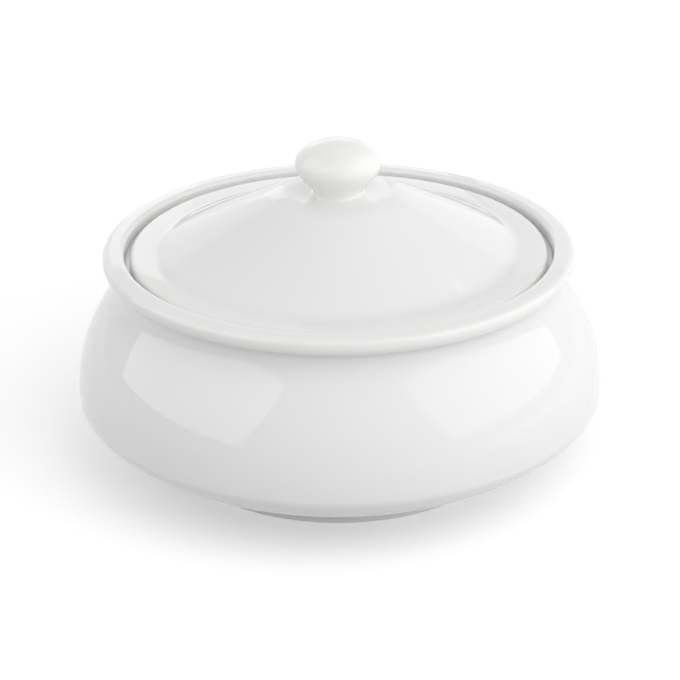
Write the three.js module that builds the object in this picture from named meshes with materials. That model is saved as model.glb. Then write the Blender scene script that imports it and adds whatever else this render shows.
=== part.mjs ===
// Lidded serving bowl in white glazed porcelain.
// A round-bellied bowl stands on a foot ring and draws in to a neck under a sloping lip. Inside the lip is
// a gallery, a step on which the loose lid rests. The lid has a level brim, a conical
// side and a level crown, on which a turned knob stands.
// Millimetres and degrees, +Z up, axis of the bowl on Z, foot ring on Z = 0.
import * as THREE from 'three';

// Bowl: foot ring and base
const FOOT_RADIUS = 65;
const FOOT_WIDTH = 6;
const FOOT_HEIGHT = 3.8;
const FOOT_FLARE = 1;
const BASE_RECESS = 2.4;
const FLOOR_THICKNESS = 5;

// Bowl: body and neck
const BELLY_RADIUS = 100;
const BELLY_HEIGHT = 28.2;
const WALL = 5;
const FOOT_SPREAD_ANGLE = 28.5;
const SHOULDER_RADIUS = 88.1;
const SHOULDER_HEIGHT = 64;
const SHOULDER_ANGLE = 57;
const NECK_RADIUS = 83.4;
const NECK_HEIGHT = 75.4;

// Bowl: lip, which crests near its inner edge and falls outward, and the gallery inside it
const LIP_RADIUS = 88.4;
const LIP_WIDTH = 8;
const LIP_HEIGHT = 84.1;
const LIP_FALL = 4;
const LIP_SLOPE_ANGLE = 22;
const LIP_UNDERCUT_ANGLE = 58;
const CREST_ROUND = 1.8;
const LIP_ROUND = 2;
const GALLERY_DEPTH = 5.5;
const GALLERY_WIDTH = 5.9;
const GALLERY_THICKNESS = 4.6;
const GALLERY_FILLET = 0.9;
const THROAT_ANGLE = 45;

// Lid
const LID_CLEARANCE = 2;
const LID_EDGE = 3.8;
const LID_WALL = 4.6;
const LID_SEAT_WIDTH = 5;
const LID_BRIM_WIDTH = 10.9;
const LID_BRIM_BEND = 2.8;
const LID_SIDE_ANGLE = 25.6;
const LID_CROWN_BEND = 7;
const LID_RISE = 21.5;

// Knob on the lid
const KNOB_FOOT_RADIUS = 10.2;
const KNOB_FOOT_ANGLE = 30;
const KNOB_NECK_RADIUS = 9.2;
const KNOB_NECK_RISE = 1.2;
const KNOB_RADIUS = 16;
const KNOB_WIDEST_RISE = 11.3;
const KNOB_HEIGHT = 20.3;
const KNOB_TAPER_ANGLE = 53;

// How far each curve carries its tangent at its two ends, as parts of the straight distance
const LOWER_BODY_PULLS = [0.2, 0.2];
const UPPER_BODY_PULLS = [0.4, 0.36];
const NECK_PULLS = [0.4, 0.35];
const UNDERCUT_PULLS = [0.35, 0.4];
const LIP_PULLS = [0.3, 0.4];
const INSIDE_PULLS = [0.3, 0.3];
const LID_BEND_PULLS = [0.4, 0.4];
const KNOB_FOOT_PULLS = [0.4, 0.4];
const KNOB_TAPER_PULLS = [0.45, 0.25];
const KNOB_TOP_PULLS = [0.27, 0.5];

// Facets: steps round the axis, and steps along each curve of a section
const BOWL_SEGMENTS = 64;
const KNOB_SEGMENTS = 40;
const LONG_STEPS = 7;
const SHORT_STEPS = 4;
const FILLET_STEPS = 2;

// Headings in a section
const UP = 90;
const INWARD = 180;
const DOWN = -90;

// Heights and radii that follow from the sizes above
const FLOOR_HEIGHT = BASE_RECESS + FLOOR_THICKNESS;
const LIP_INNER_RADIUS = LIP_RADIUS - LIP_WIDTH;
const GALLERY_HEIGHT = LIP_HEIGHT - GALLERY_DEPTH;
const THROAT_RADIUS = LIP_INNER_RADIUS - GALLERY_WIDTH;
const LID_RADIUS = LIP_INNER_RADIUS - LID_CLEARANCE;
const LID_EDGE_ROUND = LID_EDGE / 2;
const LID_BRIM_HEIGHT = GALLERY_HEIGHT + LID_EDGE;
const LID_CROWN_HEIGHT = LID_BRIM_HEIGHT + LID_RISE;
const LID_SIDE_RUN = LID_RISE / Math.tan(THREE.MathUtils.degToRad(LID_SIDE_ANGLE));

const GLAZE = { color: 0xf2f2f0, roughness: 0.1, metalness: 0 };

const point = (radius, height) => new THREE.Vector2(radius, height);

// Unit vector at an angle in degrees, measured from outward towards up
function heading(degrees) {
  const angle = THREE.MathUtils.degToRad(degrees);
  return point(Math.cos(angle), Math.sin(angle));
}

// Smooth stretch of a section that leaves one point and reaches the next at the given headings
function sweep(from, leave, to, arrive, pulls, steps) {
  const reach = from.distanceTo(to);
  const first = heading(leave).multiplyScalar(pulls[0] * reach).add(from);
  const second = heading(arrive).multiplyScalar(-pulls[1] * reach).add(to);
  return new THREE.CubicBezierCurve(from, first, second, to).getPoints(steps);
}

// Part of a circle in the section, from one angle in degrees to another
function arc(centre, radius, start, end, steps) {
  const points = [];
  for (let step = 0; step <= steps; step += 1) {
    const angle = start + ((end - start) * step) / steps;
    points.push(heading(angle).multiplyScalar(radius).add(centre));
  }
  return points;
}

// The same stretch moved sideways by a wall thickness, towards the left of its direction
function inset(points, thickness) {
  return points.map((here, index) => {
    const before = points[Math.max(index - 1, 0)];
    const after = points[Math.min(index + 1, points.length - 1)];
    const along = after.clone().sub(before).normalize();
    return point(here.x - along.y * thickness, here.y + along.x * thickness);
  });
}

// Joins stretches into one section and leaves out points that repeat
function section(...stretches) {
  const same = 1e-3;
  return stretches.flat().filter((here, index, all) => {
    return index === 0 || here.distanceTo(all[index - 1]) > same;
  });
}

// Solid of revolution about Z with the given section
function turned(name, profile, segments) {
  const geometry = new THREE.LatheGeometry(profile, segments).rotateX(Math.PI / 2);
  const mesh = new THREE.Mesh(geometry, new THREE.MeshStandardMaterial(GLAZE));
  mesh.name = name;
  return mesh;
}

// Foot ring and recessed base, from the axis out to the foot of the ring
function footCurve() {
  const ringInside = FOOT_RADIUS - FOOT_WIDTH;
  return [
    point(0, BASE_RECESS),
    point(ringInside - BASE_RECESS, BASE_RECESS),
    point(ringInside, 0),
    point(FOOT_RADIUS, 0),
  ];
}

// Outside of the bowl's body, from the top of the foot ring to the start of the neck
function bodyCurve() {
  const footTop = point(FOOT_RADIUS + FOOT_FLARE, FOOT_HEIGHT);
  const belly = point(BELLY_RADIUS, BELLY_HEIGHT);
  const shoulder = point(SHOULDER_RADIUS, SHOULDER_HEIGHT);
  const lower = sweep(footTop, FOOT_SPREAD_ANGLE, belly, UP, LOWER_BODY_PULLS, LONG_STEPS);
  const upper = sweep(belly, UP, shoulder, INWARD - SHOULDER_ANGLE, UPPER_BODY_PULLS, LONG_STEPS);
  return [...lower, ...upper.slice(1)];
}

// Neck, the undercut above it, and the lip over its crest to the gallery's wall
function lipCurve() {
  const shoulder = point(SHOULDER_RADIUS, SHOULDER_HEIGHT);
  const neck = point(NECK_RADIUS, NECK_HEIGHT);
  const turnCentre = point(LIP_RADIUS - LIP_ROUND, LIP_HEIGHT - LIP_FALL);
  const turn = arc(turnCentre, LIP_ROUND, -LIP_UNDERCUT_ANGLE, 0, SHORT_STEPS);
  const crestCentre = point(LIP_INNER_RADIUS + CREST_ROUND, LIP_HEIGHT - CREST_ROUND);
  const crest = arc(crestCentre, CREST_ROUND, UP - LIP_SLOPE_ANGLE, INWARD, SHORT_STEPS);
  const widest = turn[turn.length - 1];
  return [
    ...sweep(shoulder, INWARD - SHOULDER_ANGLE, neck, UP, NECK_PULLS, SHORT_STEPS),
    ...sweep(neck, UP, turn[0], UP - LIP_UNDERCUT_ANGLE, UNDERCUT_PULLS, SHORT_STEPS),
    ...turn,
    ...sweep(widest, UP, crest[0], INWARD - LIP_SLOPE_ANGLE, LIP_PULLS, SHORT_STEPS),
    ...crest,
  ];
}

// Gallery step, from the lip's inner wall across the ledge and down the throat
function galleryCurve() {
  const fillet = point(LIP_INNER_RADIUS - GALLERY_FILLET, GALLERY_HEIGHT + GALLERY_FILLET);
  const nose = point(THROAT_RADIUS + GALLERY_FILLET, GALLERY_HEIGHT - GALLERY_FILLET);
  return [
    ...arc(fillet, GALLERY_FILLET, 0, DOWN, FILLET_STEPS),
    ...arc(nose, GALLERY_FILLET, UP, INWARD, FILLET_STEPS),
    point(THROAT_RADIUS, GALLERY_HEIGHT - GALLERY_THICKNESS),
  ];
}

// Inside of the bowl, from under the gallery down the wall and across the floor to the axis
function insideCurve() {
  const wall = inset(bodyCurve(), WALL).reverse();
  const underGallery = point(THROAT_RADIUS, GALLERY_HEIGHT - GALLERY_THICKNESS);
  const throat = sweep(underGallery, -THROAT_ANGLE, wall[0], -SHOULDER_ANGLE, INSIDE_PULLS, SHORT_STEPS);
  const aboveFloor = wall.filter((here) => here.y > FLOOR_HEIGHT);
  return [...throat, ...aboveFloor, point(FOOT_RADIUS - FOOT_WIDTH, FLOOR_HEIGHT), point(0, FLOOR_HEIGHT)];
}

function makeBowl() {
  const profile = section(footCurve(), bodyCurve(), lipCurve(), galleryCurve(), insideCurve());
  return turned('bowl', profile, BOWL_SEGMENTS);
}

// Rounded edge of the lid, from its seat on the gallery to the top of its brim
function lidEdge() {
  const centre = point(LID_RADIUS - LID_EDGE_ROUND, GALLERY_HEIGHT + LID_EDGE_ROUND);
  return arc(centre, LID_EDGE_ROUND, DOWN, UP, LONG_STEPS);
}

// Rounded bend in place of the corner between two headings
function bend(corner, arrive, leave, length, steps) {
  const before = heading(arrive).multiplyScalar(-length).add(corner);
  const after = heading(leave).multiplyScalar(length).add(corner);
  return sweep(before, arrive, after, leave, LID_BEND_PULLS, steps);
}

// Top of the lid from its edge inward: a level brim, a conical side and a level crown
function domeCurve() {
  const brim = point(LID_RADIUS - LID_BRIM_WIDTH, LID_BRIM_HEIGHT);
  const crown = point(brim.x - LID_SIDE_RUN, LID_CROWN_HEIGHT);
  const lean = INWARD - LID_SIDE_ANGLE;
  return [
    point(LID_RADIUS - LID_EDGE_ROUND, LID_BRIM_HEIGHT),
    ...bend(brim, INWARD, lean, LID_BRIM_BEND, SHORT_STEPS),
    ...bend(crown, lean, INWARD, LID_CROWN_BEND, LONG_STEPS),
  ];
}

// Lid: a wall of even thickness over a hollow, with a flat seat under its edge
function makeLid() {
  const dome = domeCurve();
  const seatInside = point(LID_RADIUS - LID_EDGE_ROUND - LID_SEAT_WIDTH, GALLERY_HEIGHT);
  const hollow = inset(dome, LID_WALL).filter((here) => here.x < seatInside.x && here.y > seatInside.y);
  const ceiling = point(0, hollow[hollow.length - 1].y);
  const top = point(0, LID_CROWN_HEIGHT);
  const profile = section([ceiling], hollow.reverse(), [seatInside], lidEdge(), dome, [top]);
  return turned('lid', profile, BOWL_SEGMENTS);
}

// Knob: short flared foot, waist, tapered underside and low domed top
function makeKnob() {
  const foot = point(KNOB_FOOT_RADIUS, LID_CROWN_HEIGHT);
  const waist = point(KNOB_NECK_RADIUS, LID_CROWN_HEIGHT + KNOB_NECK_RISE);
  const widest = point(KNOB_RADIUS, LID_CROWN_HEIGHT + KNOB_WIDEST_RISE);
  const top = point(0, LID_CROWN_HEIGHT + KNOB_HEIGHT);
  const flare = sweep(foot, INWARD - KNOB_FOOT_ANGLE, waist, UP, KNOB_FOOT_PULLS, SHORT_STEPS);
  const taper = sweep(waist, KNOB_TAPER_ANGLE, widest, UP, KNOB_TAPER_PULLS, LONG_STEPS);
  const cap = sweep(widest, UP, top, INWARD, KNOB_TOP_PULLS, LONG_STEPS);
  const profile = section([point(0, LID_CROWN_HEIGHT)], flare, taper, cap);
  return turned('lid_knob', profile, KNOB_SEGMENTS);
}

const liddedTop = new THREE.Group();
liddedTop.add(makeLid(), makeKnob());

const servingBowl = new THREE.Group();
servingBowl.add(makeBowl(), liddedTop);

export default servingBowl;
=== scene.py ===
"""Dresses the lidded serving bowl: fine turned porcelain under a clear glaze, on a plain pale stage."""

import math
from typing import NamedTuple

import bpy
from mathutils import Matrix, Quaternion, Vector
from mathutils.geometry import interpolate_bezier


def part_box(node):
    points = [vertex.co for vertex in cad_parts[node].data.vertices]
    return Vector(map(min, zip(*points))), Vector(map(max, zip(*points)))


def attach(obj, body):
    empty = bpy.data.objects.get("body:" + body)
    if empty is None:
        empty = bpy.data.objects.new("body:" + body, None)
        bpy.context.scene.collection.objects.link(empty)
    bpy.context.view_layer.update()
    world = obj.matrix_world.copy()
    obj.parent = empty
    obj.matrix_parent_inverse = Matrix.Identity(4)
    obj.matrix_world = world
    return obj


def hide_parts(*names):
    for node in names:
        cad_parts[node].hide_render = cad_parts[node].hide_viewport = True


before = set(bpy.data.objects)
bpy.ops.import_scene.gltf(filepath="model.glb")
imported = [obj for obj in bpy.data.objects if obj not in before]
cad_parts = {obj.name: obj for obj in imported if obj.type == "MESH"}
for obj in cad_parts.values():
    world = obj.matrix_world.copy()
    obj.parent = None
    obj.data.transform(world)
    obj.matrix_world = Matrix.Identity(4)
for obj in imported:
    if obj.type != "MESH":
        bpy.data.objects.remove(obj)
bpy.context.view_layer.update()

bl_info = {
    "name": "Lidded Serving Bowl",
    "version": (1, 0, 0),
    "blender": (4, 5, 0),
    "location": "3D View > Sidebar > Serving Bowl",
    "description": "Builds a glazed porcelain serving bowl with its lid, and a plain studio around it",
    "category": "Add Mesh",
}

MILLIMETRE = 0.001
IMAGE_WIDTH = 680
SENSOR_WIDTH = 36.0

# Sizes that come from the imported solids
BELLY_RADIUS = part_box("bowl")[1].x
LIP_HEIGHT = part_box("bowl")[1].z
LID_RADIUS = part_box("lid")[1].x
GALLERY_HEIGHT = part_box("lid")[0].z
CROWN_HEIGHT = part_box("lid")[1].z
KNOB_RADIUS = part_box("lid_knob")[1].x
KNOB_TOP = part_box("lid_knob")[1].z

# How far each curve carries its tangent at its two ends, as parts of the straight distance
CORNER_PULLS = (0.4, 0.4)
LOWER_BODY_PULLS = (0.2, 0.2)
UPPER_BODY_PULLS = (0.4, 0.36)
NECK_PULLS = (0.4, 0.35)
UNDERCUT_PULLS = (0.35, 0.4)
LIP_PULLS = (0.42, 0.7)
INSIDE_PULLS = (0.3, 0.3)
KNOB_FOOT_PULLS = (0.4, 0.4)
KNOB_TAPER_PULLS = (0.45, 0.25)
KNOB_TOP_PULLS = (0.27, 0.5)

# Headings in a section, in degrees from outward towards up
UP = 90.0
INWARD = 180.0
DOWN = -90.0
DOWN_INWARD = -135.0

# Steps round the axis, and along the curves of a section
BOWL_SEGMENTS = 192
KNOB_SEGMENTS = 128
LONG_STEPS = 28
SHORT_STEPS = 14
ROUND_STEPS = 8

# Corners that turn by more than this stay sharp
SHARP_ANGLE = math.radians(35.0)

# Places of a piece's materials
GLAZED = 0
BARE = 1

# Mesh attribute that holds how thick the glaze lies: 0 thin on edges, 1 pooled in hollows
POOL = "glaze_pool"
EVEN_POOL = 0.5

# Glaze: how it bends light, and the waves in a metre of its fine peel and how much they show
GLAZE_IOR = 1.5
PEEL_SCALE = 850.0
PEEL_SHARE = 0.006

# Clouds in the glaze: waves in a metre, noise at which they start and are full, and share of grey in them
CLOUD_SCALE = 18.0
CLOUD_LIMITS = (0.35, 0.75)
CLOUD_SHARE = 0.12

# Gloss: noise of the clouds at which it starts and stops changing, and factors on the roughness there
GLOSS_LIMITS = (0.3, 0.8)
GLOSS_CHANGE = (0.8, 1.3)

# Specks: cells in a metre with one speck each, and where a speck starts to fade and ends, in cells
SPECK_SCALE = 40.0
SPECK_INSIDE = 0.006
SPECK_OUTSIDE = 0.01

# Grain of bare porcelain: waves in a metre, their height, noise at its low and high end, and roughness there
GRAIN_SCALE = 1400.0
GRAIN_HEIGHT = 0.05 * MILLIMETRE
GRAIN_LIMITS = (0.3, 0.7)
GRAIN_ROUGHNESS = (0.55, 0.8)

# Stains on bare porcelain: waves in a metre, noise at which they are full and gone, and their shade
STAIN_SCALE = 90.0
STAIN_LIMITS = (0.3, 0.65)
STAIN_SHADE = 0.86

# Floor: half its width, its roughness, and where the light seen on it starts and stops rising, in metres
FLOOR_REACH = 6.0
FLOOR_ROUGHNESS = 0.9
FLOOR_NEAR = 0.3
FLOOR_FAR = 1.2

# White light of the floor and the room
WHITE = (1.0, 1.0, 1.0, 1.0)


def length(label, description, default):
    """A size in metres that shows in the scene's units."""
    return bpy.props.FloatProperty(
        name=label, description=description, default=default, min=0.0, precision=4, unit="LENGTH"
    )


def millimetres(label, description, default):
    """A size whose default is written in millimetres."""
    return length(label, description, default * MILLIMETRE)


def angle(label, description, default):
    """An angle whose default is written in degrees."""
    return bpy.props.FloatProperty(
        name=label, description=description, default=math.radians(default), subtype="ANGLE"
    )


def amount(label, description, default):
    """A plain number."""
    return bpy.props.FloatProperty(name=label, description=description, default=default, precision=3)


def colour(label, description, default):
    """A linear colour."""
    return bpy.props.FloatVectorProperty(
        name=label, description=description, default=default, size=3, min=0.0, max=1.0, subtype="COLOR"
    )


class BowlSizes(bpy.types.PropertyGroup):
    """Sizes of the bowl"""

    foot_radius: millimetres("Foot radius", "Outside of the foot ring", 65.0)
    foot_width: millimetres("Foot width", "Width of the foot ring's flat", 6.0)
    foot_height: millimetres("Foot height", "Where the body leaves the foot ring", 3.8)
    foot_flare: millimetres("Foot flare", "How far the ring widens up to the body", 1.0)
    foot_round: millimetres("Foot edge", "Rounding of the foot ring's two edges", 0.8)
    foot_join: millimetres("Foot join", "Length of the hollow between ring and body", 1.2)
    base_recess: millimetres("Base recess", "Depth of the base inside the ring", 2.4)
    floor_thickness: millimetres("Floor", "Thickness of the bowl's floor", 5.0)
    belly_radius: length("Belly radius", "Widest radius of the body", BELLY_RADIUS)
    belly_height: millimetres("Belly height", "Height of the widest place", 28.2)
    wall: millimetres("Wall", "Thickness of the wall", 5.0)
    foot_spread: angle("Foot spread", "Slope at which the body leaves the foot", 28.5)
    shoulder_radius: millimetres("Shoulder radius", "Radius where the neck starts", 88.1)
    shoulder_height: millimetres("Shoulder height", "Height where the neck starts", 64.0)
    shoulder_slope: angle("Shoulder slope", "Slope of the wall at the shoulder", 57.0)
    neck_radius: millimetres("Neck radius", "Narrowest radius under the lip", 83.4)
    neck_height: millimetres("Neck height", "Height of the narrowest place", 75.4)
    lip_radius: millimetres("Lip radius", "Outside of the lip", 88.4)
    lip_width: millimetres("Lip width", "From the lip's outside to the gallery's wall", 8.0)
    lip_height: length("Lip height", "Height of the lip's crest", LIP_HEIGHT)
    lip_fall: millimetres("Lip fall", "From the crest down to the lip's widest place", 3.1)
    lip_slope: angle("Lip slope", "How steeply the lip falls outward from its crest", 6.0)
    lip_undercut: angle("Lip undercut", "How far the lip turns under", 52.0)
    lip_round: millimetres("Lip edge", "Rounding of the lip's outside", 3.8)
    crest_round: millimetres("Crest rounding", "Rounding of the lip's crest", 1.8)
    gallery_height: length("Gallery height", "Height of the ledge that carries the lid", GALLERY_HEIGHT)
    gallery_width: millimetres("Gallery width", "Width of the ledge", 5.9)
    gallery_thickness: millimetres("Gallery thickness", "Thickness of the ledge at the throat", 4.6)
    gallery_fillet: millimetres("Gallery fillet", "Rounding of the ledge", 0.9)
    throat_slope: angle("Throat slope", "Slope of the wall under the gallery", 45.0)


class LidSizes(bpy.types.PropertyGroup):
    """Sizes of the lid"""

    radius: length("Radius", "Outside of the lid's edge", LID_RADIUS)
    edge: millimetres("Edge", "Thickness of the rounded edge", 3.8)
    wall: millimetres("Wall", "Thickness of the wall", 4.6)
    seat_height: length("Seat height", "Height of the seat on the gallery", GALLERY_HEIGHT)
    seat_width: millimetres("Seat width", "Width of the flat under the edge", 5.0)
    brim_width: millimetres("Brim width", "Width of the level brim", 10.9)
    brim_bend: millimetres("Brim bend", "Reach of the rounding between brim and side", 2.8)
    side_slope: angle("Side slope", "Slope of the conical side", 25.6)
    crown_bend: millimetres("Crown bend", "Reach of the rounding between side and crown", 7.0)
    crown_height: length("Crown height", "Height of the level crown under the knob", CROWN_HEIGHT)


class KnobSizes(bpy.types.PropertyGroup):
    """Sizes of the knob"""

    foot_radius: millimetres("Foot radius", "Radius of the flared foot", 10.2)
    foot_slope: angle("Foot slope", "Slope at which the foot leaves the lid", 30.0)
    foot_tuck: millimetres("Foot tuck", "How far the foot runs on into the lid", 0.8)
    neck_radius: millimetres("Neck radius", "Narrowest radius", 9.2)
    neck_rise: millimetres("Neck rise", "From the lid to the narrowest place", 1.2)
    neck_join: millimetres("Neck join", "Length of the hollow under the knob's head", 0.6)
    radius: length("Radius", "Widest radius", KNOB_RADIUS)
    widest_rise: millimetres("Widest rise", "From the lid to the widest place", 11.3)
    top_height: length("Top height", "Height of the knob's top", KNOB_TOP)
    taper: angle("Taper", "Slope at which the knob widens above its neck", 53.0)


class PorcelainLook(bpy.types.PropertyGroup):
    """Colours and finish of the porcelain"""

    body: colour("Body", "White of the glazed body", (0.86, 0.86, 0.855))
    pooled: colour("Pooled glaze", "Where the glaze lies thick in hollows", (0.79, 0.8, 0.8))
    thin: colour("Thin glaze", "Where the glaze draws off an edge", (0.88, 0.878, 0.868))
    speck: colour("Speck", "Iron specks in the glaze", (0.5, 0.47, 0.44))
    bare: colour("Bare body", "Unglazed porcelain on the foot and seat", (0.8, 0.79, 0.765))
    gloss: amount("Roughness", "Roughness of the glaze", 0.035)
    ripple: millimetres("Ripple", "Height of the slow waves in the glaze", 0.06)
    bowl_ripple_scale: amount("Bowl ripple scale", "Waves in a metre, on the bowl", 38.0)
    lid_ripple_scale: amount("Lid ripple scale", "Waves in a metre, on the lid", 46.0)


class StageLook(bpy.types.PropertyGroup):
    """Camera, lamps and floor"""

    distance: length("Camera distance", "From the camera to the point that it looks at", 0.8)
    elevation: angle("Camera elevation", "Height of the camera above the horizon", 22.53)
    roll: angle("Camera roll", "Turn of the camera about its axis", 0.56)
    scale: amount("Image scale", "Pixels for a millimetre at the point looked at", 2.6583)
    aim_height: millimetres("Aim height", "Height of the point looked at", 80.7)
    aim_x: amount("Aim across", "Pixels from the image's left side to that point", 338.8)
    aim_y: amount("Aim down", "Pixels from the image's top to that point", 250.1)
    ambient: amount("Ambient", "Light from the room", 0.61)
    floor: amount("Floor", "White of the floor where it is seen", 0.95)
    floor_bounce: amount("Floor bounce", "White of the floor in the light that it throws back", 0.58)
    floor_lift: amount("Floor lift", "Light that the camera sees on the floor beside the lamps'", 0.25)
    far_lift: amount("Far lift", "The same light, far from the bowl", 0.42)


class ServingBowl(bpy.types.PropertyGroup):
    """All that can be set on the serving bowl"""

    bowl: bpy.props.PointerProperty(type=BowlSizes, name="Bowl", description="Sizes of the bowl")
    lid: bpy.props.PointerProperty(type=LidSizes, name="Lid", description="Sizes of the lid")
    knob: bpy.props.PointerProperty(type=KnobSizes, name="Knob", description="Sizes of the knob")
    porcelain: bpy.props.PointerProperty(type=PorcelainLook, name="Porcelain", description="Finish")
    stage: bpy.props.PointerProperty(type=StageLook, name="Stage", description="Camera and light")


def point(radius, height):
    """A point of a section: distance from the axis, and height."""
    return Vector((radius, height))


def heading(degrees):
    """Unit vector in a section."""
    turn = math.radians(degrees)
    return Vector((math.cos(turn), math.sin(turn)))


def sweep(start, leave, end, arrive, pulls, steps):
    """Smooth stretch that leaves one point and reaches the next at the given headings."""
    reach = (end - start).length
    first = start + heading(leave) * pulls[0] * reach
    second = end - heading(arrive) * pulls[1] * reach
    return list(interpolate_bezier(start, first, second, end, steps + 1))


def arc(centre, radius, start, end, steps):
    """Part of a circle, from one angle in degrees to another."""
    turns = [start + (end - start) * step / steps for step in range(steps + 1)]
    return [centre + heading(turn) * radius for turn in turns]


def evenly(start, end, steps):
    """Straight stretch between two points."""
    return [start.lerp(end, step / steps) for step in range(steps + 1)]


def eased_corner(corner, arrive, leave, size):
    """Small curve in place of the corner between two headings."""
    before = corner - heading(arrive) * size
    after = corner + heading(leave) * size
    return sweep(before, arrive, after, leave, CORNER_PULLS, ROUND_STEPS)


def inset(points, thickness):
    """The same stretch moved sideways by a thickness, towards the left of its direction."""
    moved = []
    for index, here in enumerate(points):
        before = points[max(index - 1, 0)]
        after = points[min(index + 1, len(points) - 1)]
        along = (after - before).normalized()
        moved.append(point(here.x - along.y * thickness, here.y + along.x * thickness))
    return moved


def joined(*stretches):
    """Puts (points, material) stretches in a row and leaves out points that repeat."""
    same = 1e-6
    points, places = [], []
    for stretch, place in stretches:
        for here in stretch:
            if points and (here - points[-1]).length < same:
                continue
            points.append(here)
            places.append(place)
    return points, places


def glaze_pools(points):
    """How thick the glaze lies at each point: it draws off outward bends and fills inward ones."""
    reach = 1.5 * MILLIMETRE
    full_turn = 0.6
    pools = []
    for index, here in enumerate(points):
        low = index
        while low > 0 and (here - points[low]).length < reach:
            low -= 1
        high = index
        while high < len(points) - 1 and (here - points[high]).length < reach:
            high += 1
        turn = (points[high] - here).angle_signed(here - points[low], 0.0) if low < index < high else 0.0
        pools.append(EVEN_POOL - EVEN_POOL * max(-1.0, min(1.0, turn / full_turn)))
    return pools


def turned_faces(rings, segments, places):
    """Faces and their materials: a fan at each end, and bands of four-sided faces between the rings."""
    faces, indices = [], []
    last = 1 + rings * segments
    top = last - segments
    for segment in range(segments):
        after = (segment + 1) % segments
        faces.append((0, 1 + after, 1 + segment))
        indices.append(places[1])
        for ring in range(rings - 1):
            low = 1 + ring * segments
            high = low + segments
            faces.append((low + segment, low + after, high + after, high + segment))
            indices.append(places[ring + 2])
        faces.append((last, top + segment, top + after))
        indices.append(places[-1])
    return faces, indices


def turned_piece(name, points, places, segments):
    """Closed mesh of revolution about Z, from a section whose two ends are on the axis."""
    rings = points[1:-1]
    pools = glaze_pools(points)
    verts, shades = [(0.0, 0.0, points[0].y)], [pools[0]]
    for ring, pool in zip(rings, pools[1:-1]):
        for segment in range(segments):
            turn = 2 * math.pi * segment / segments
            verts.append((ring.x * math.cos(turn), ring.x * math.sin(turn), ring.y))
            shades.append(pool)
    verts.append((0.0, 0.0, points[-1].y))
    shades.append(pools[-1])
    faces, indices = turned_faces(len(rings), segments, places)
    mesh = bpy.data.meshes.new(name)
    mesh.from_pydata(verts, [], faces)
    mesh.validate()
    mesh.polygons.foreach_set("material_index", indices)
    mesh.shade_smooth()
    mesh.set_sharp_from_angle(angle=SHARP_ANGLE)
    mesh.attributes.new(POOL, "FLOAT", "POINT").data.foreach_set("value", shades)
    piece = bpy.data.objects.new(name, mesh)
    bpy.context.scene.collection.objects.link(piece)
    return piece


def foot_curve(sizes):
    """Recessed base and the foot ring, whose flat is bare of glaze, up to the body."""
    inner = sizes.foot_radius - sizes.foot_width
    edge = sizes.foot_round
    recess_edge = point(inner - sizes.base_recess, sizes.base_recess)
    inner_round = arc(point(inner + edge, edge), edge, DOWN_INWARD, DOWN, ROUND_STEPS)
    outer_round = arc(point(sizes.foot_radius - edge, edge), edge, DOWN, 0.0, ROUND_STEPS)
    spread = math.degrees(sizes.foot_spread)
    lean = math.degrees(math.atan2(sizes.foot_height - edge, sizes.foot_flare))
    corner = point(sizes.foot_radius + sizes.foot_flare, sizes.foot_height)
    join = eased_corner(corner, lean, spread, sizes.foot_join)
    centre = point(0.0, sizes.base_recess)
    return [
        ([centre, recess_edge * 0.5 + centre * 0.5, recess_edge] + inner_round, GLAZED),
        ([outer_round[0]], BARE),
        (outer_round[1:] + join, GLAZED),
    ]


def body_curve(sizes):
    """Outside of the body, from the top of the foot ring to the start of the neck."""
    corner = point(sizes.foot_radius + sizes.foot_flare, sizes.foot_height)
    spread = math.degrees(sizes.foot_spread)
    start = corner + heading(spread) * sizes.foot_join
    belly = point(sizes.belly_radius, sizes.belly_height)
    shoulder = point(sizes.shoulder_radius, sizes.shoulder_height)
    arrive = INWARD - math.degrees(sizes.shoulder_slope)
    lower = sweep(start, spread, belly, UP, LOWER_BODY_PULLS, LONG_STEPS)
    return lower + sweep(belly, UP, shoulder, arrive, UPPER_BODY_PULLS, LONG_STEPS)[1:]


def lip_curve(sizes):
    """Neck, the undercut above it, and the lip over its crest to the gallery's wall."""
    shoulder = point(sizes.shoulder_radius, sizes.shoulder_height)
    leave = INWARD - math.degrees(sizes.shoulder_slope)
    neck = point(sizes.neck_radius, sizes.neck_height)
    under = math.degrees(sizes.lip_undercut)
    slope = math.degrees(sizes.lip_slope)
    turn_centre = point(sizes.lip_radius - sizes.lip_round, sizes.lip_height - sizes.lip_fall)
    turn = arc(turn_centre, sizes.lip_round, -under, 0.0, SHORT_STEPS)
    inner = sizes.lip_radius - sizes.lip_width
    crest_centre = point(inner + sizes.crest_round, sizes.lip_height - sizes.crest_round)
    crest = arc(crest_centre, sizes.crest_round, UP - slope, INWARD, SHORT_STEPS)
    return (
        sweep(shoulder, leave, neck, UP, NECK_PULLS, SHORT_STEPS)
        + sweep(neck, UP, turn[0], UP - under, UNDERCUT_PULLS, SHORT_STEPS)
        + turn
        + sweep(turn[-1], UP, crest[0], INWARD - slope, LIP_PULLS, SHORT_STEPS)
        + crest
    )


def gallery_curve(sizes):
    """Gallery step, from the lip's inner wall across the ledge and down the throat."""
    inner = sizes.lip_radius - sizes.lip_width
    throat = inner - sizes.gallery_width
    fillet = sizes.gallery_fillet
    hollow = point(inner - fillet, sizes.gallery_height + fillet)
    nose = point(throat + fillet, sizes.gallery_height - fillet)
    return (
        arc(hollow, fillet, 0.0, DOWN, ROUND_STEPS)
        + arc(nose, fillet, UP, INWARD, ROUND_STEPS)
        + [point(throat, sizes.gallery_height - sizes.gallery_thickness)]
    )


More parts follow.
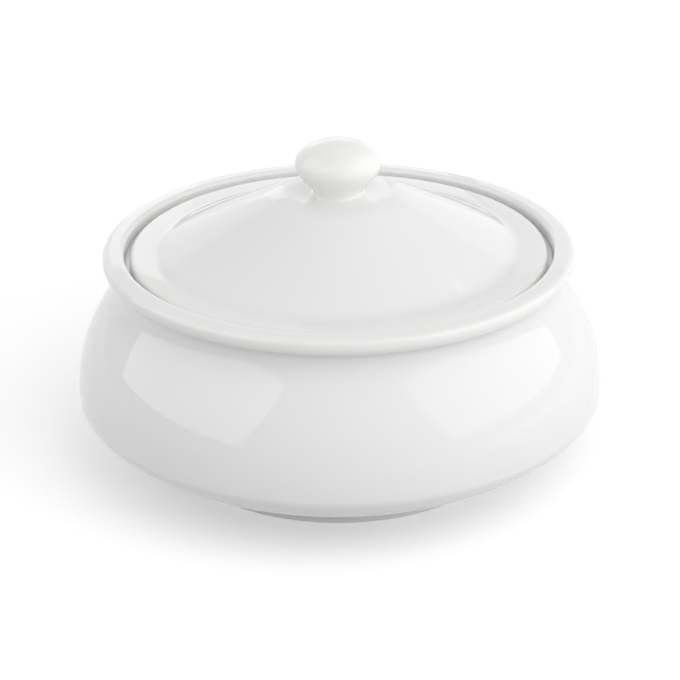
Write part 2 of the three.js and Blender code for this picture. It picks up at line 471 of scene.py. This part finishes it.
def inside_curve(sizes):
    """Inside of the bowl, from under the gallery down the wall and across the floor to the axis."""
    wall = inset(body_curve(sizes), sizes.wall)[::-1]
    throat = sizes.lip_radius - sizes.lip_width - sizes.gallery_width
    under = point(throat, sizes.gallery_height - sizes.gallery_thickness)
    leave = -math.degrees(sizes.throat_slope)
    arrive = -math.degrees(sizes.shoulder_slope)
    floor = sizes.base_recess + sizes.floor_thickness
    floor_edge = point(sizes.foot_radius - sizes.foot_width, floor)
    last = wall[-1]
    slope = INWARD + math.degrees(sizes.foot_spread)
    floor_sweep = sweep(last, slope, floor_edge, INWARD, INSIDE_PULLS, ROUND_STEPS)
    return (
        sweep(under, leave, wall[0], arrive, INSIDE_PULLS, SHORT_STEPS)
        + wall
        + floor_sweep
        + [point(floor_edge.x * 0.5, floor), point(0.0, floor)]
    )


def lid_edge(sizes):
    """Rounded edge of the lid, from its seat on the gallery to the top of its brim."""
    edge = sizes.edge / 2
    centre = point(sizes.radius - edge, sizes.seat_height + edge)
    return arc(centre, edge, DOWN, UP, 2 * ROUND_STEPS)


def lid_dome(sizes):
    """Top of the lid from its edge to the axis: a level brim, a conical side and a level crown."""
    base = sizes.seat_height + sizes.edge
    run = (sizes.crown_height - base) / math.tan(sizes.side_slope)
    brim = point(sizes.radius - sizes.brim_width, base)
    crown = point(brim.x - run, sizes.crown_height)
    lean = INWARD - math.degrees(sizes.side_slope)
    lower = eased_corner(brim, INWARD, lean, sizes.brim_bend)
    upper = eased_corner(crown, lean, INWARD, sizes.crown_bend)
    return lower + evenly(lower[-1], upper[0], LONG_STEPS) + upper


def lid_section(sizes):
    """Whole section of the lid, whose seat is bare of glaze."""
    dome = lid_dome(sizes)
    edge = lid_edge(sizes)
    seat_inside = point(sizes.radius - sizes.edge / 2 - sizes.seat_width, sizes.seat_height)
    inside = inset(dome, sizes.wall)[::-1]
    hollow = [here for here in inside if here.x < seat_inside.x and here.y > seat_inside.y]
    ceiling = evenly(point(0.0, hollow[0].y), hollow[0], ROUND_STEPS)
    crown = evenly(dome[-1], point(0.0, sizes.crown_height), ROUND_STEPS)
    return joined(
        (ceiling + hollow + [seat_inside], GLAZED),
        ([edge[0]], BARE),
        (edge[1:] + dome + crown, GLAZED),
    )


def knob_section(sizes, base):
    """Whole section of the knob: flared foot, waist, tapered underside and low domed top."""
    foot = point(sizes.foot_radius, base)
    waist = point(sizes.neck_radius, base + sizes.neck_rise)
    widest = point(sizes.radius, base + sizes.widest_rise)
    top = point(0.0, sizes.top_height)
    leave = INWARD - math.degrees(sizes.foot_slope)
    spread = math.degrees(sizes.taper)
    hollow = eased_corner(waist, UP, spread, sizes.neck_join)
    flare = sweep(foot, leave, hollow[0], UP, KNOB_FOOT_PULLS, LONG_STEPS)
    taper = sweep(hollow[-1], spread, widest, UP, KNOB_TAPER_PULLS, LONG_STEPS)
    cap = sweep(widest, UP, top, INWARD, KNOB_TOP_PULLS, LONG_STEPS)
    edge = foot - heading(leave) * sizes.foot_tuck
    under = [point(0.0, edge.y), point(edge.x * 0.5, edge.y), edge]
    return joined((under + flare + hollow + taper + cap, GLAZED))


def node(tree, kind, **values):
    """Adds a shader node and sets its inputs by name."""
    made = tree.nodes.new(kind)
    for name, value in values.items():
        made.inputs[name.replace("_", " ")].default_value = value
    return made


def math_node(tree, operation, first, second):
    """Adds a Math node. Each of its two values is a number or a socket."""
    made = tree.nodes.new("ShaderNodeMath")
    made.operation = operation
    for place, value in enumerate((first, second)):
        if isinstance(value, (int, float)):
            made.inputs[place].default_value = value
        else:
            tree.links.new(value, made.inputs[place])
    return made.outputs[0]


def mixed(tree, factor, first, second):
    """Adds a colour Mix node and gives its result."""
    made = tree.nodes.new("ShaderNodeMix")
    made.data_type = "RGBA"
    for name, value in (("Factor_Float", factor), ("A_Color", first), ("B_Color", second)):
        socket = next(each for each in made.inputs if each.identifier == name)
        tree.links.new(value, socket)
    return next(each for each in made.outputs if each.identifier == "Result_Color")


def ranged(tree, value, low, high, to_low, to_high):
    """Adds a Map Range node and gives its result."""
    made = node(tree, "ShaderNodeMapRange", From_Min=low, From_Max=high, To_Min=to_low, To_Max=to_high)
    tree.links.new(value, made.inputs["Value"])
    return made.outputs["Result"]


def new_group(name, inputs, outputs):
    """Starts a shader node group with named sockets."""
    tree = bpy.data.node_groups.new(name, "ShaderNodeTree")
    for label, kind in inputs:
        tree.interface.new_socket(label, in_out="INPUT", socket_type=kind)
    for label, kind in outputs:
        tree.interface.new_socket(label, in_out="OUTPUT", socket_type=kind)
    return tree, tree.nodes.new("NodeGroupInput"), tree.nodes.new("NodeGroupOutput")


def glaze_height(tree, place, ripple_scale):
    """Slow waves and a fine peel."""
    waves = node(tree, "ShaderNodeTexNoise", Detail=1.0)
    tree.links.new(place, waves.inputs["Vector"])
    tree.links.new(ripple_scale, waves.inputs["Scale"])
    peel = node(tree, "ShaderNodeTexNoise", Scale=PEEL_SCALE, Detail=1.0)
    tree.links.new(place, peel.inputs["Vector"])
    fine = math_node(tree, "MULTIPLY", peel.outputs["Fac"], PEEL_SHARE)
    return math_node(tree, "ADD", waves.outputs["Fac"], fine)


def glaze_white(tree, clouds, given):
    """Cloudy white, greyer where the glaze pools in hollows and warmer where it thins on edges."""
    pool = tree.nodes.new("ShaderNodeAttribute")
    pool.attribute_name = POOL
    hollow = ranged(tree, pool.outputs["Fac"], EVEN_POOL, 1.0, 0.0, 1.0)
    edge = ranged(tree, pool.outputs["Fac"], EVEN_POOL, 0.0, 0.0, 1.0)
    cloudy = ranged(tree, clouds, *CLOUD_LIMITS, 0.0, CLOUD_SHARE)
    white = mixed(tree, cloudy, given["Body"], given["Pooled"])
    pooled = mixed(tree, hollow, white, given["Pooled"])
    return mixed(tree, edge, pooled, given["Thin"])


def speckled(tree, place, white, speck_colour):
    """A few small iron specks over the white."""
    specks = node(tree, "ShaderNodeTexVoronoi", Scale=SPECK_SCALE)
    tree.links.new(place, specks.inputs["Vector"])
    speck = ranged(tree, specks.outputs["Distance"], SPECK_INSIDE, SPECK_OUTSIDE, 1.0, 0.0)
    return mixed(tree, speck, white, speck_colour)


def glaze_group():
    """Glaze that pools in hollows, thins on edges, waves slowly and carries a few specks."""
    found = bpy.data.node_groups.get("Clear Glaze")
    if found:
        return found
    inputs = [(name, "NodeSocketColor") for name in ("Body", "Pooled", "Thin", "Speck")]
    inputs += [(name, "NodeSocketFloat") for name in ("Ripple Scale", "Roughness")]
    outputs = [("Colour", "NodeSocketColor"), ("Roughness", "NodeSocketFloat"), ("Height", "NodeSocketFloat")]
    tree, given, made = new_group("Clear Glaze", inputs, outputs)
    place = tree.nodes.new("ShaderNodeTexCoord").outputs["Object"]
    clouds = node(tree, "ShaderNodeTexNoise", Scale=CLOUD_SCALE, Detail=3.0)
    tree.links.new(place, clouds.inputs["Vector"])
    white = glaze_white(tree, clouds.outputs["Fac"], given.outputs)
    soften = ranged(tree, clouds.outputs["Fac"], *GLOSS_LIMITS, *GLOSS_CHANGE)
    results = {
        "Colour": speckled(tree, place, white, given.outputs["Speck"]),
        "Roughness": math_node(tree, "MULTIPLY", given.outputs["Roughness"], soften),
        "Height": glaze_height(tree, place, given.outputs["Ripple Scale"]),
    }
    for label, result in results.items():
        tree.links.new(result, made.inputs[label])
    return tree


def new_material(name):
    """A material with an empty node tree, its shader and its output."""
    made = bpy.data.materials.new(name)
    made.use_nodes = True
    tree = made.node_tree
    tree.nodes.clear()
    shader = tree.nodes.new("ShaderNodeBsdfPrincipled")
    output = tree.nodes.new("ShaderNodeOutputMaterial")
    tree.links.new(shader.outputs["BSDF"], output.inputs["Surface"])
    return made, tree, shader


def bumped(tree, shader, height, distance):
    """Feeds a height to the shader's normal."""
    bump = node(tree, "ShaderNodeBump", Distance=distance)
    tree.links.new(height, bump.inputs["Height"])
    tree.links.new(bump.outputs["Normal"], shader.inputs["Normal"])


def glazed_porcelain(name, look, ripple_scale):
    """White porcelain under clear glaze."""
    made, tree, shader = new_material(name)
    glaze = tree.nodes.new("ShaderNodeGroup")
    glaze.node_tree = glaze_group()
    colours = {"Body": look.body, "Pooled": look.pooled, "Thin": look.thin, "Speck": look.speck}
    for label, value in colours.items():
        glaze.inputs[label].default_value = (*value, 1.0)
    glaze.inputs["Ripple Scale"].default_value = ripple_scale
    glaze.inputs["Roughness"].default_value = look.gloss
    tree.links.new(glaze.outputs["Colour"], shader.inputs["Base Color"])
    tree.links.new(glaze.outputs["Roughness"], shader.inputs["Roughness"])
    shader.inputs["IOR"].default_value = GLAZE_IOR
    bumped(tree, shader, glaze.outputs["Height"], look.ripple)
    return made


def bare_porcelain(look):
    """Unglazed porcelain, ground flat: matt, fine grained and a little warmer."""
    found = bpy.data.materials.get("bare_porcelain")
    if found:
        return found
    made, tree, shader = new_material("bare_porcelain")
    place = tree.nodes.new("ShaderNodeTexCoord").outputs["Object"]
    grain = node(tree, "ShaderNodeTexNoise", Scale=GRAIN_SCALE, Detail=4.0)
    stain = node(tree, "ShaderNodeTexNoise", Scale=STAIN_SCALE, Detail=5.0)
    for texture in (grain, stain):
        tree.links.new(place, texture.inputs["Vector"])
    ramp = tree.nodes.new("ShaderNodeValToRGB")
    for stop, limit, shade in zip(ramp.color_ramp.elements, STAIN_LIMITS, (STAIN_SHADE, 1.0)):
        stop.position = limit
        stop.color = (*(shade * value for value in look.bare), 1.0)
    tree.links.new(stain.outputs["Fac"], ramp.inputs["Fac"])
    tree.links.new(ramp.outputs["Color"], shader.inputs["Base Color"])
    matt = ranged(tree, grain.outputs["Fac"], *GRAIN_LIMITS, *GRAIN_ROUGHNESS)
    tree.links.new(matt, shader.inputs["Roughness"])
    bumped(tree, shader, grain.outputs["Fac"], GRAIN_HEIGHT)
    return made


def dress(piece, body, nodes, materials):
    """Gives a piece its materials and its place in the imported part."""
    for material in materials:
        piece.data.materials.append(material)
    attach(piece, body)
    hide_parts(*nodes)


class SERVINGBOWL_OT_bowl(bpy.types.Operator):
    """Turn the bowl, with its foot ring, neck, lip and gallery, and glaze it"""

    bl_idname = "serving_bowl.bowl"
    bl_label = "Bowl"

    def execute(self, context):
        setting = context.scene.serving_bowl
        sizes = setting.bowl
        outside = body_curve(sizes) + lip_curve(sizes) + gallery_curve(sizes) + inside_curve(sizes)
        points, places = joined(*foot_curve(sizes), (outside, GLAZED))
        piece = turned_piece("bowl_porcelain", points, places, BOWL_SEGMENTS)
        glaze = glazed_porcelain("bowl_glaze", setting.porcelain, setting.porcelain.bowl_ripple_scale)
        dress(piece, "bowl", ["bowl"], [glaze, bare_porcelain(setting.porcelain)])
        return {"FINISHED"}


class SERVINGBOWL_OT_lid(bpy.types.Operator):
    """Turn the lid, with its level brim, conical side, level crown and bare seat, and glaze it"""

    bl_idname = "serving_bowl.lid"
    bl_label = "Lid"

    def execute(self, context):
        setting = context.scene.serving_bowl
        points, places = lid_section(setting.lid)
        piece = turned_piece("lid_porcelain", points, places, BOWL_SEGMENTS)
        glaze = glazed_porcelain("lid_glaze", setting.porcelain, setting.porcelain.lid_ripple_scale)
        dress(piece, "lid", ["lid"], [glaze, bare_porcelain(setting.porcelain)])
        return {"FINISHED"}


class SERVINGBOWL_OT_knob(bpy.types.Operator):
    """Turn the knob that is stuck on the lid's crown, under the lid's glaze"""

    bl_idname = "serving_bowl.knob"
    bl_label = "Knob"

    def execute(self, context):
        setting = context.scene.serving_bowl
        glaze = bpy.data.materials.get("lid_glaze")
        if glaze is None:
            raise RuntimeError("The knob takes the lid's glaze, so the lid is made first.")
        points, places = knob_section(setting.knob, setting.lid.crown_height)
        piece = turned_piece("knob_porcelain", points, places, KNOB_SEGMENTS)
        dress(piece, "lid", ["lid_knob"], [glaze])
        return {"FINISHED"}


def seen_rays(tree):
    """1 for rays from the camera, and for mirrored and refracted ones."""
    path = tree.nodes.new("ShaderNodeLightPath")
    mirrored = math_node(tree, "MAXIMUM", path.outputs["Is Glossy Ray"], path.outputs["Is Transmission Ray"])
    return math_node(tree, "MAXIMUM", path.outputs["Is Camera Ray"], mirrored)


def floor_paper(look):
    """Pale matt paper that looks lighter far from the bowl."""
    made, tree, shader = new_material("floor_paper")
    shader.inputs["Roughness"].default_value = FLOOR_ROUGHNESS
    shader.inputs["Specular IOR Level"].default_value = 0.0
    shader.inputs["Emission Color"].default_value = WHITE
    seen = seen_rays(tree)
    white = ranged(tree, seen, 0.0, 1.0, look.floor_bounce, look.floor)
    tree.links.new(white, shader.inputs["Base Color"])
    away = tree.nodes.new("ShaderNodeVectorMath")
    away.operation = "LENGTH"
    tree.links.new(tree.nodes.new("ShaderNodeTexCoord").outputs["Object"], away.inputs[0])
    lift = ranged(tree, away.outputs["Value"], FLOOR_NEAR, FLOOR_FAR, look.floor_lift, look.far_lift)
    tree.links.new(math_node(tree, "MULTIPLY", seen, lift), shader.inputs["Emission Strength"])
    return made


def stage_floor(look):
    """Wide pale floor that keeps the bowl's shadow."""
    reach = FLOOR_REACH
    mesh = bpy.data.meshes.new("floor")
    corners = [(-reach, -reach, 0.0), (reach, -reach, 0.0), (reach, reach, 0.0), (-reach, reach, 0.0)]
    mesh.from_pydata(corners, [], [(0, 1, 2, 3)])
    mesh.materials.append(floor_paper(look))
    floor = bpy.data.objects.new("floor", mesh)
    bpy.context.scene.collection.objects.link(floor)


def stage_room(look):
    """White room: white where it is seen, and a soft even light."""
    world = bpy.data.worlds.new("room")
    world.use_nodes = True
    bpy.context.scene.world = world
    tree = world.node_tree
    background = tree.nodes["Background"]
    background.inputs["Color"].default_value = WHITE
    strength = ranged(tree, seen_rays(tree), 0.0, 1.0, look.ambient, 1.0)
    tree.links.new(strength, background.inputs["Strength"])


class Lamp(NamedTuple):
    """Place, size and radiance of a lamp; its azimuth goes from the camera's side towards the right."""

    azimuth: float
    elevation: float
    distance: float
    width: float
    height: float
    radiance: float

    def away(self):
        """Direction from the bowl to the lamp."""
        turn, rise = math.radians(self.azimuth), math.radians(self.elevation)
        return Vector((math.sin(turn) * math.cos(rise), -math.cos(turn) * math.cos(rise), math.sin(rise)))


# Softboxes light the bowl, and cards are only mirrored in its glaze
LAMPS = {
    "right_softbox": Lamp(85.0, 14.0, 1.0, 2.1, 1.15, 0.55),
    "left_softbox": Lamp(-82.0, 21.0, 0.95, 1.83, 0.51, 0.64),
    "front_softbox": Lamp(36.0, 48.0, 1.2, 0.9, 0.9, 1.18),
    "low_softbox": Lamp(58.0, 6.0, 0.8, 0.9, 0.16, 1.85),
    "right_card": Lamp(80.0, 36.0, 1.1, 1.7, 1.22, 0.85),
    "left_card": Lamp(-74.0, 33.0, 1.0, 1.45, 1.02, 1.15),
    "back_card": Lamp(-175.0, 16.4, 1.2, 0.48, 0.41, 0.5),
    "back_right_card": Lamp(153.0, 13.5, 1.25, 0.83, 0.6, 0.26),
    "back_left_card": Lamp(-153.0, 13.5, 1.25, 0.83, 0.6, 0.26),
}


def stage_lamps(look):
    """Softboxes and cards around the bowl, all facing it."""
    aim = Vector((0.0, 0.0, look.aim_height / 2))
    for name, lamp in LAMPS.items():
        light = bpy.data.lights.new(name, "AREA")
        light.shape = "RECTANGLE"
        light.size = lamp.width
        light.size_y = lamp.height
        light.energy = lamp.radiance * math.pi * lamp.width * lamp.height
        made = bpy.data.objects.new(name, light)
        bpy.context.scene.collection.objects.link(made)
        made.location = aim + lamp.away() * lamp.distance
        made.rotation_mode = "QUATERNION"
        made.rotation_quaternion = (-lamp.away()).to_track_quat("-Z", "Y")
        made.visible_camera = False
        made.visible_glossy = name.endswith("card")
        made.visible_diffuse = name.endswith("softbox")


def stage_camera(look):
    """Camera at the photograph's viewing angle."""
    camera = bpy.data.objects.new("camera", bpy.data.cameras.new("camera"))
    bpy.context.scene.collection.objects.link(camera)
    bpy.context.scene.camera = camera
    focal = look.scale * look.distance / MILLIMETRE
    camera.data.sensor_width = SENSOR_WIDTH
    camera.data.lens = SENSOR_WIDTH * focal / IMAGE_WIDTH
    back = Vector((0.0, -math.cos(look.elevation), math.sin(look.elevation)))
    camera.location = Vector((0.0, 0.0, look.aim_height)) + back * look.distance
    middle = IMAGE_WIDTH / 2
    aimed = Vector(((look.aim_x - middle) / focal, (middle - look.aim_y) / focal, -1.0))
    facing = (-back).to_track_quat("-Z", "Y")
    roll = Quaternion((0.0, 0.0, 1.0), -look.roll)
    aside = Vector((0.0, 0.0, -1.0)).rotation_difference(aimed)
    camera.rotation_mode = "QUATERNION"
    camera.rotation_quaternion = facing @ roll @ aside.inverted()


class SERVINGBOWL_OT_stage(bpy.types.Operator):
    """Set the floor, the room, the softboxes and cards, and the camera"""

    bl_idname = "serving_bowl.stage"
    bl_label = "Stage"

    def execute(self, context):
        look = context.scene.serving_bowl.stage
        stage_floor(look)
        stage_room(look)
        stage_lamps(look)
        stage_camera(look)
        context.scene.view_settings.view_transform = "Standard"
        return {"FINISHED"}


class SERVINGBOWL_PT_panel(bpy.types.Panel):
    """Sizes, finish and steps of the serving bowl"""

    bl_idname = "SERVINGBOWL_PT_panel"
    bl_label = "Serving Bowl"
    bl_space_type = "VIEW_3D"
    bl_region_type = "UI"
    bl_category = "Serving Bowl"

    def draw(self, context):
        setting = context.scene.serving_bowl
        for operator in OPERATORS:
            self.layout.operator(operator.bl_idname)
        for part in ("bowl", "lid", "knob", "porcelain", "stage"):
            box = self.layout.box()
            box.label(text=part.capitalize())
            group = getattr(setting, part)
            for name in group.__annotations__:
                box.prop(group, name)


GROUPS = (BowlSizes, LidSizes, KnobSizes, PorcelainLook, StageLook, ServingBowl)
OPERATORS = (SERVINGBOWL_OT_bowl, SERVINGBOWL_OT_lid, SERVINGBOWL_OT_knob, SERVINGBOWL_OT_stage)
CLASSES = (*GROUPS, *OPERATORS, SERVINGBOWL_PT_panel)


def register():
    """Make the settings, steps and panel known to Blender."""
    for each in CLASSES:
        bpy.utils.register_class(each)
    bpy.types.Scene.serving_bowl = bpy.props.PointerProperty(type=ServingBowl)


def unregister():
    """Take them away again."""
    del bpy.types.Scene.serving_bowl
    for each in reversed(CLASSES):
        bpy.utils.unregister_class(each)


def main():
    """Build every piece, then the stage."""
    register()
    bpy.ops.serving_bowl.bowl()
    bpy.ops.serving_bowl.lid()
    bpy.ops.serving_bowl.knob()
    bpy.ops.serving_bowl.stage()


if __name__ == "__main__":
    main()
